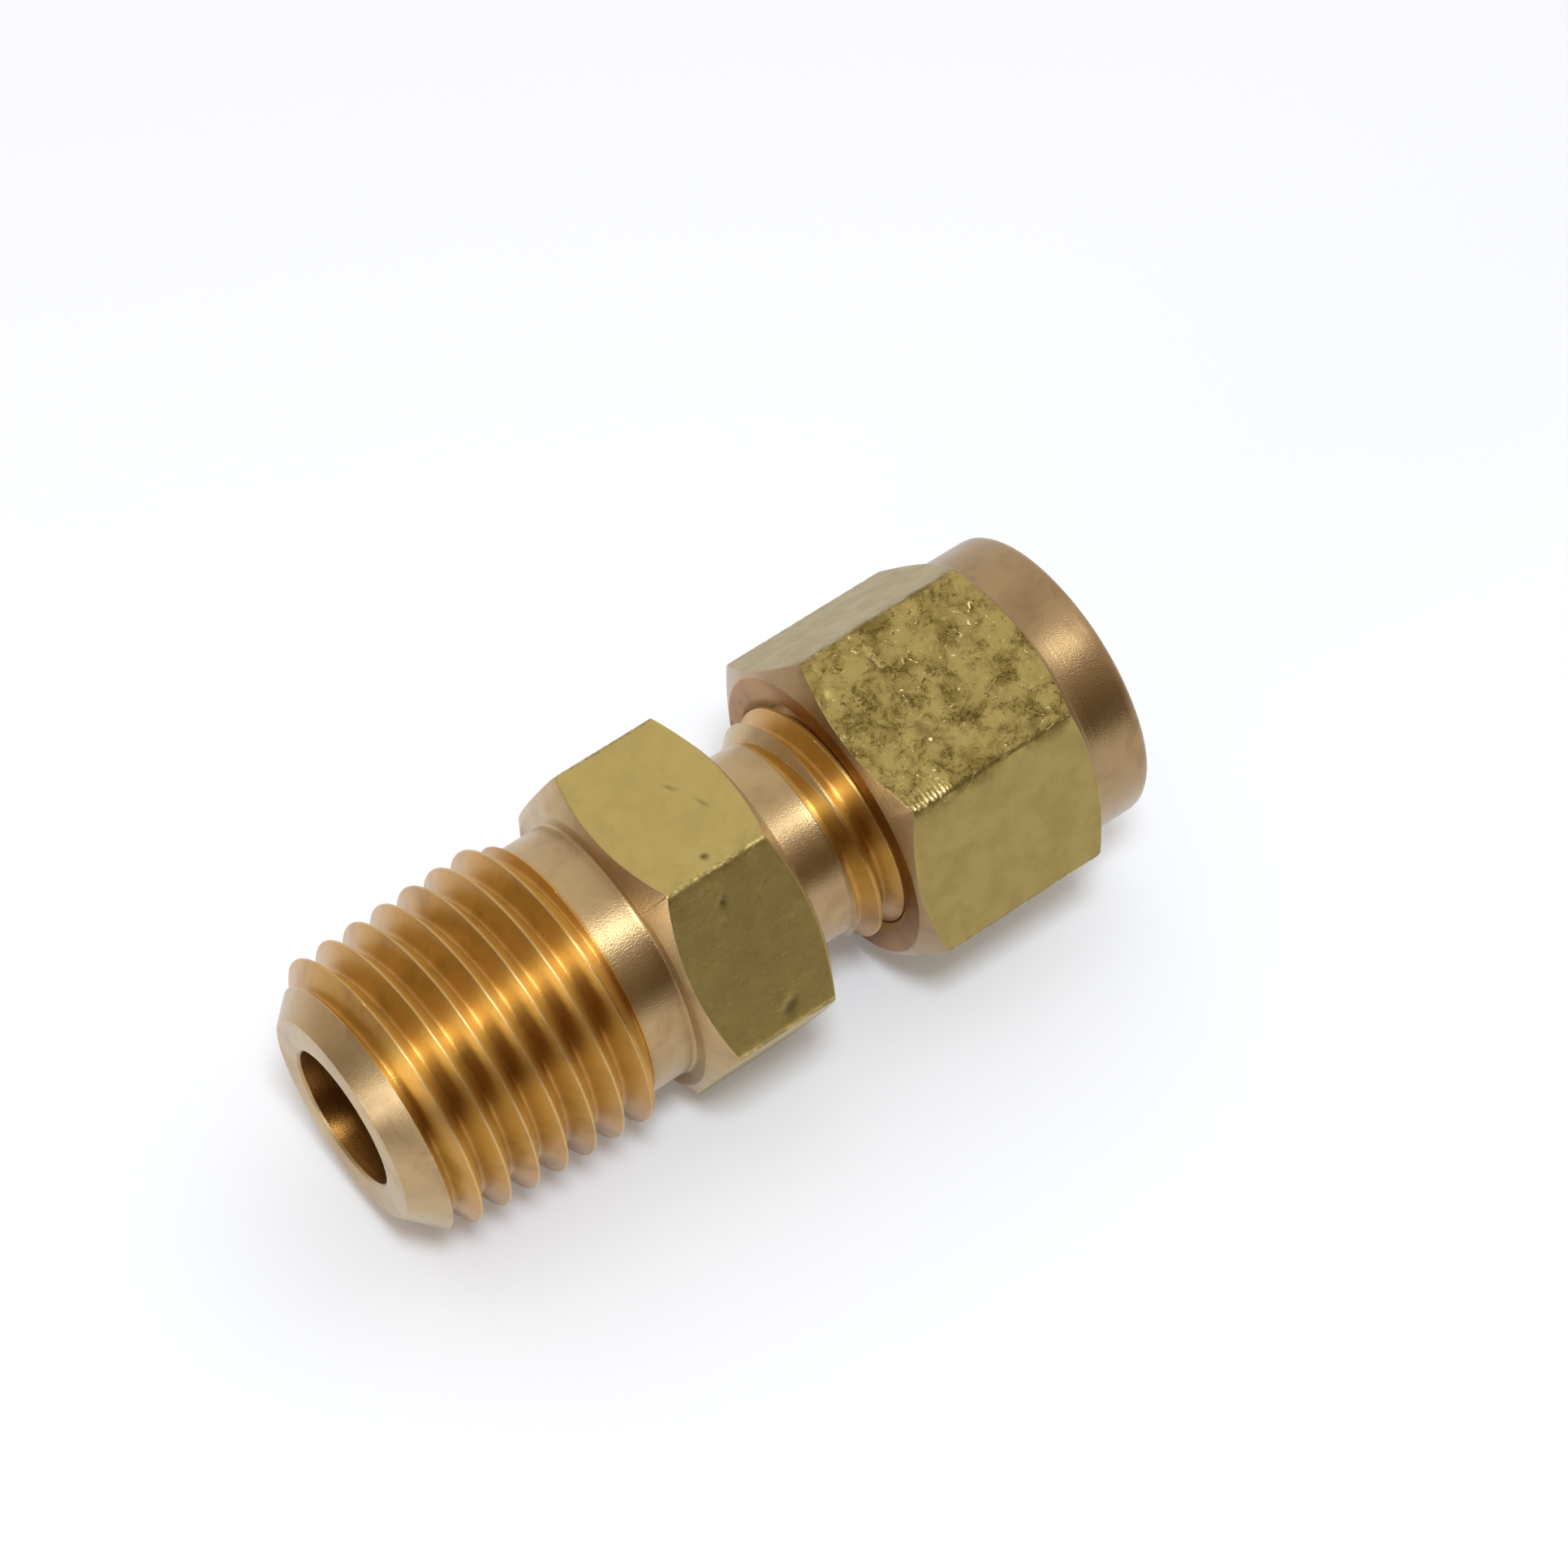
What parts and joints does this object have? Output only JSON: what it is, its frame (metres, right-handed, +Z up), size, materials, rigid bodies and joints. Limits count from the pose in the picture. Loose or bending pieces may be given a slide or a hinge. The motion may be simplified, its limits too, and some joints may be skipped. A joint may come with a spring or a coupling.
{
  "type": "male connector compression tube fitting",
  "caption": "Brass male connector: tapered pipe thread, hexagon body and a compression nut that closes ferrules onto a tube.",
  "frame": {"origin": "centre of the end face of the pipe thread", "axes": "+X runs along the bore towards the tube end, +Z is up as the fitting lies"},
  "size_m": [0.0379, 0.0164, 0.0158],
  "materials": {
    "turned_brass": "turned",
    "nut_brass": "turned, drawn flats",
    "ferrule_brass": "bright turned"
  },
  "bodies": {
    "connector": {"connector_body": "turned_brass"},
    "ferrules": {"front_ferrule": "ferrule_brass", "back_ferrule": "ferrule_brass"},
    "nut": {"coupling_nut": "nut_brass"}
  },
  "joints": [
    {"name": "nut_travel", "type": "slide", "parent": "connector", "child": "ferrules", "axis": [1, 0, 0], "range_m": [0, 0.00382]},
    {"name": "nut_turn", "type": "hinge", "parent": "ferrules", "child": "nut", "pos_m": [0.0251, 0, 0], "axis": [1, 0, 0], "range_deg": [0, 1080]}
  ],
  "couplings": [
    {"joint": "nut_travel", "follows": "nut_turn", "m_per_rad": 0.00020213}
  ]
}
